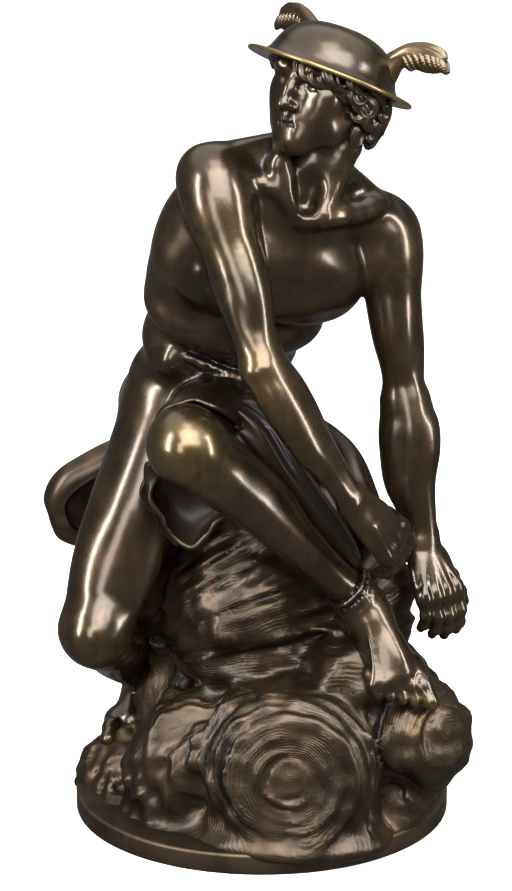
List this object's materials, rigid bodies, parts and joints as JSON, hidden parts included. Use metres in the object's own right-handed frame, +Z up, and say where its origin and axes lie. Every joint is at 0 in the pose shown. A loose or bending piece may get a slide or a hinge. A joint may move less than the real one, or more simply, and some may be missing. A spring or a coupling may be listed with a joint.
{
  "type": "seated mercury statuette",
  "caption": "Seated youth with winged hat and cloth on a bank of cloud over a round base plate, one bronze casting.",
  "frame": {"origin": "centre of the flat underside of the round base plate", "axes": "+Z up through the figure; a viewer in front of the figure looks along +Y and has +X at the right hand"},
  "size_m": [0.2871, 0.2681, 0.5563],
  "materials": {
    "bronze": "dark brown lacquered patina, rubbed golden on the high points"
  },
  "bodies": {
    "root": {"seated_mercury": "bronze"}
  },
  "joints": []
}
